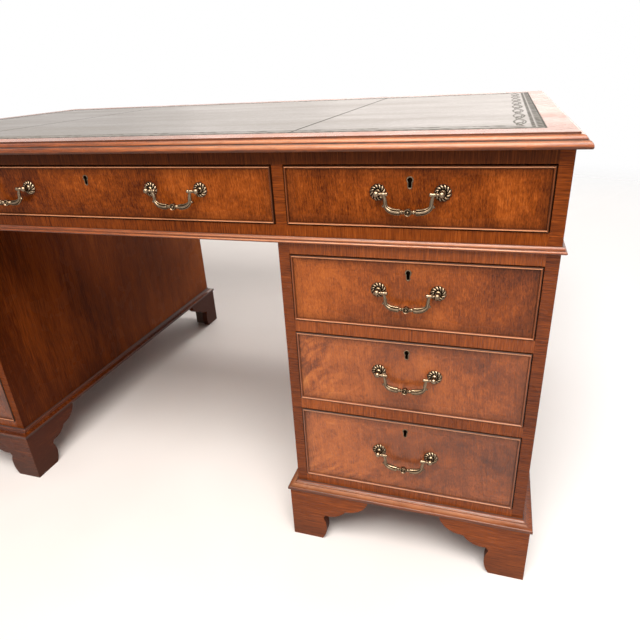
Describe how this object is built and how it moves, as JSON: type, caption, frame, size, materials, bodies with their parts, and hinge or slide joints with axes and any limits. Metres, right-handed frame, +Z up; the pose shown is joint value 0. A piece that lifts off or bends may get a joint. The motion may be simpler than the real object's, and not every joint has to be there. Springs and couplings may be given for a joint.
{
  "type": "kneehole desk",
  "caption": "Pedestal kneehole desk with a moulded leather-lined top, cockbeaded drawers with swan-neck brass bails and locks, and ogee bracket feet.",
  "frame": {"origin": "on the floor under the middle of the top", "axes": "+X to the sitter's right-hand end seen from the front, front faces -Y, +Z up"},
  "size_m": [1.524, 0.9142, 0.762],
  "materials": {
    "mahogany": "french polished veneer",
    "secondary_wood": "bare planed wood",
    "leather": "polished, tooled border",
    "brass": "antiqued cast brass"
  },
  "bodies": {
    "carcass": {"top_board": "mahogany", "top_edge_moulding": "mahogany", "leather_panels": "leather", "frieze_panels": "mahogany", "frieze_rails": "mahogany", "waist_moulding": "mahogany", "left_pedestal_panels": "mahogany", "right_pedestal_panels": "mahogany", "drawer_rails": "mahogany", "runners_and_stops": "secondary_wood", "base_moulding": "mahogany", "bracket_feet": "mahogany", "foot_blocks": "secondary_wood", "locating_dowels": "secondary_wood"},
    "centre_drawer": {"centre_drawer_front": "mahogany", "centre_drawer_box": "secondary_wood", "centre_drawer_fittings": "brass"},
    "centre_drawer_bolt": {"centre_drawer_lock_bolt": "brass"},
    "centre_drawer_left_handle": {"centre_drawer_left_bail": "brass"},
    "centre_drawer_right_handle": {"centre_drawer_right_bail": "brass"},
    "left_frieze_drawer": {"left_frieze_drawer_front": "mahogany", "left_frieze_drawer_box": "secondary_wood", "left_frieze_drawer_fittings": "brass"},
    "left_frieze_drawer_bolt": {"left_frieze_drawer_lock_bolt": "brass"},
    "left_frieze_drawer_handle": {"left_frieze_drawer_bail": "brass"},
    "left_upper_drawer": {"left_upper_drawer_front": "mahogany", "left_upper_drawer_box": "secondary_wood", "left_upper_drawer_fittings": "brass"},
    "left_upper_drawer_bolt": {"left_upper_drawer_lock_bolt": "brass"},
    "left_upper_drawer_handle": {"left_upper_drawer_bail": "brass"},
    "left_middle_drawer": {"left_middle_drawer_front": "mahogany", "left_middle_drawer_box": "secondary_wood", "left_middle_drawer_fittings": "brass"},
    "left_middle_drawer_bolt": {"left_middle_drawer_lock_bolt": "brass"},
    "left_middle_drawer_handle": {"left_middle_drawer_bail": "brass"},
    "left_lower_drawer": {"left_lower_drawer_front": "mahogany", "left_lower_drawer_box": "secondary_wood", "left_lower_drawer_fittings": "brass"},
    "left_lower_drawer_bolt": {"left_lower_drawer_lock_bolt": "brass"},
    "left_lower_drawer_handle": {"left_lower_drawer_bail": "brass"},
    "right_frieze_drawer": {"right_frieze_drawer_front": "mahogany", "right_frieze_drawer_box": "secondary_wood", "right_frieze_drawer_fittings": "brass"},
    "right_frieze_drawer_bolt": {"right_frieze_drawer_lock_bolt": "brass"},
    "right_frieze_drawer_handle": {"right_frieze_drawer_bail": "brass"},
    "right_upper_drawer": {"right_upper_drawer_front": "mahogany", "right_upper_drawer_box": "secondary_wood", "right_upper_drawer_fittings": "brass"},
    "right_upper_drawer_bolt": {"right_upper_drawer_lock_bolt": "brass"},
    "right_upper_drawer_handle": {"right_upper_drawer_bail": "brass"},
    "right_middle_drawer": {"right_middle_drawer_front": "mahogany", "right_middle_drawer_box": "secondary_wood", "right_middle_drawer_fittings": "brass"},
    "right_middle_drawer_bolt": {"right_middle_drawer_lock_bolt": "brass"},
    "right_middle_drawer_handle": {"right_middle_drawer_bail": "brass"},
    "right_lower_drawer": {"right_lower_drawer_front": "mahogany", "right_lower_drawer_box": "secondary_wood", "right_lower_drawer_fittings": "brass"},
    "right_lower_drawer_bolt": {"right_lower_drawer_lock_bolt": "brass"},
    "right_lower_drawer_handle": {"right_lower_drawer_bail": "brass"}
  },
  "joints": [
    {"name": "centre_drawer_slide", "type": "slide", "parent": "carcass", "child": "centre_drawer", "axis": [0, -1, 0], "range_m": [0, 0.4]},
    {"name": "centre_drawer_bolt_slide", "type": "slide", "parent": "centre_drawer", "child": "centre_drawer_bolt", "axis": [0, 0, 1], "range_m": [0, 0.007]},
    {"name": "centre_drawer_left_bail_hinge", "type": "hinge", "parent": "centre_drawer", "child": "centre_drawer_left_handle", "pos_m": [-0.1685, -0.4525, 0.68525], "axis": [-1, 0, 0], "range_deg": [-15, 110]},
    {"name": "centre_drawer_right_bail_hinge", "type": "hinge", "parent": "centre_drawer", "child": "centre_drawer_right_handle", "pos_m": [0.1685, -0.4525, 0.68525], "axis": [-1, 0, 0], "range_deg": [-15, 110]},
    {"name": "left_frieze_drawer_slide", "type": "slide", "parent": "carcass", "child": "left_frieze_drawer", "axis": [0, -1, 0], "range_m": [0, 0.4]},
    {"name": "left_frieze_drawer_bolt_slide", "type": "slide", "parent": "left_frieze_drawer", "child": "left_frieze_drawer_bolt", "axis": [0, 0, 1], "range_m": [0, 0.007]},
    {"name": "left_frieze_drawer_bail_hinge", "type": "hinge", "parent": "left_frieze_drawer", "child": "left_frieze_drawer_handle", "pos_m": [-0.541, -0.4525, 0.68525], "axis": [-1, 0, 0], "range_deg": [-15, 110]},
    {"name": "left_upper_drawer_slide", "type": "slide", "parent": "carcass", "child": "left_upper_drawer", "axis": [0, -1, 0], "range_m": [0, 0.4]},
    {"name": "left_upper_drawer_bolt_slide", "type": "slide", "parent": "left_upper_drawer", "child": "left_upper_drawer_bolt", "axis": [0, 0, 1], "range_m": [0, 0.007]},
    {"name": "left_upper_drawer_bail_hinge", "type": "hinge", "parent": "left_upper_drawer", "child": "left_upper_drawer_handle", "pos_m": [-0.541, -0.4525, 0.53705], "axis": [-1, 0, 0], "range_deg": [-15, 110]},
    {"name": "left_middle_drawer_slide", "type": "slide", "parent": "carcass", "child": "left_middle_drawer", "axis": [0, -1, 0], "range_m": [0, 0.4]},
    {"name": "left_middle_drawer_bolt_slide", "type": "slide", "parent": "left_middle_drawer", "child": "left_middle_drawer_bolt", "axis": [0, 0, 1], "range_m": [0, 0.007]},
    {"name": "left_middle_drawer_bail_hinge", "type": "hinge", "parent": "left_middle_drawer", "child": "left_middle_drawer_handle", "pos_m": [-0.541, -0.4525, 0.3928], "axis": [-1, 0, 0], "range_deg": [-15, 110]},
    {"name": "left_lower_drawer_slide", "type": "slide", "parent": "carcass", "child": "left_lower_drawer", "axis": [0, -1, 0], "range_m": [0, 0.4]},
    {"name": "left_lower_drawer_bolt_slide", "type": "slide", "parent": "left_lower_drawer", "child": "left_lower_drawer_bolt", "axis": [0, 0, 1], "range_m": [0, 0.007]},
    {"name": "left_lower_drawer_bail_hinge", "type": "hinge", "parent": "left_lower_drawer", "child": "left_lower_drawer_handle", "pos_m": [-0.541, -0.4525, 0.2303], "axis": [-1, 0, 0], "range_deg": [-15, 110]},
    {"name": "right_frieze_drawer_slide", "type": "slide", "parent": "carcass", "child": "right_frieze_drawer", "axis": [0, -1, 0], "range_m": [0, 0.4]},
    {"name": "right_frieze_drawer_bolt_slide", "type": "slide", "parent": "right_frieze_drawer", "child": "right_frieze_drawer_bolt", "axis": [0, 0, 1], "range_m": [0, 0.007]},
    {"name": "right_frieze_drawer_bail_hinge", "type": "hinge", "parent": "right_frieze_drawer", "child": "right_frieze_drawer_handle", "pos_m": [0.541, -0.4525, 0.68525], "axis": [-1, 0, 0], "range_deg": [-15, 110]},
    {"name": "right_upper_drawer_slide", "type": "slide", "parent": "carcass", "child": "right_upper_drawer", "axis": [0, -1, 0], "range_m": [0, 0.4]},
    {"name": "right_upper_drawer_bolt_slide", "type": "slide", "parent": "right_upper_drawer", "child": "right_upper_drawer_bolt", "axis": [0, 0, 1], "range_m": [0, 0.007]},
    {"name": "right_upper_drawer_bail_hinge", "type": "hinge", "parent": "right_upper_drawer", "child": "right_upper_drawer_handle", "pos_m": [0.541, -0.4525, 0.53705], "axis": [-1, 0, 0], "range_deg": [-15, 110]},
    {"name": "right_middle_drawer_slide", "type": "slide", "parent": "carcass", "child": "right_middle_drawer", "axis": [0, -1, 0], "range_m": [0, 0.4]},
    {"name": "right_middle_drawer_bolt_slide", "type": "slide", "parent": "right_middle_drawer", "child": "right_middle_drawer_bolt", "axis": [0, 0, 1], "range_m": [0, 0.007]},
    {"name": "right_middle_drawer_bail_hinge", "type": "hinge", "parent": "right_middle_drawer", "child": "right_middle_drawer_handle", "pos_m": [0.541, -0.4525, 0.3928], "axis": [-1, 0, 0], "range_deg": [-15, 110]},
    {"name": "right_lower_drawer_slide", "type": "slide", "parent": "carcass", "child": "right_lower_drawer", "axis": [0, -1, 0], "range_m": [0, 0.4]},
    {"name": "right_lower_drawer_bolt_slide", "type": "slide", "parent": "right_lower_drawer", "child": "right_lower_drawer_bolt", "axis": [0, 0, 1], "range_m": [0, 0.007]},
    {"name": "right_lower_drawer_bail_hinge", "type": "hinge", "parent": "right_lower_drawer", "child": "right_lower_drawer_handle", "pos_m": [0.541, -0.4525, 0.2303], "axis": [-1, 0, 0], "range_deg": [-15, 110]}
  ]
}
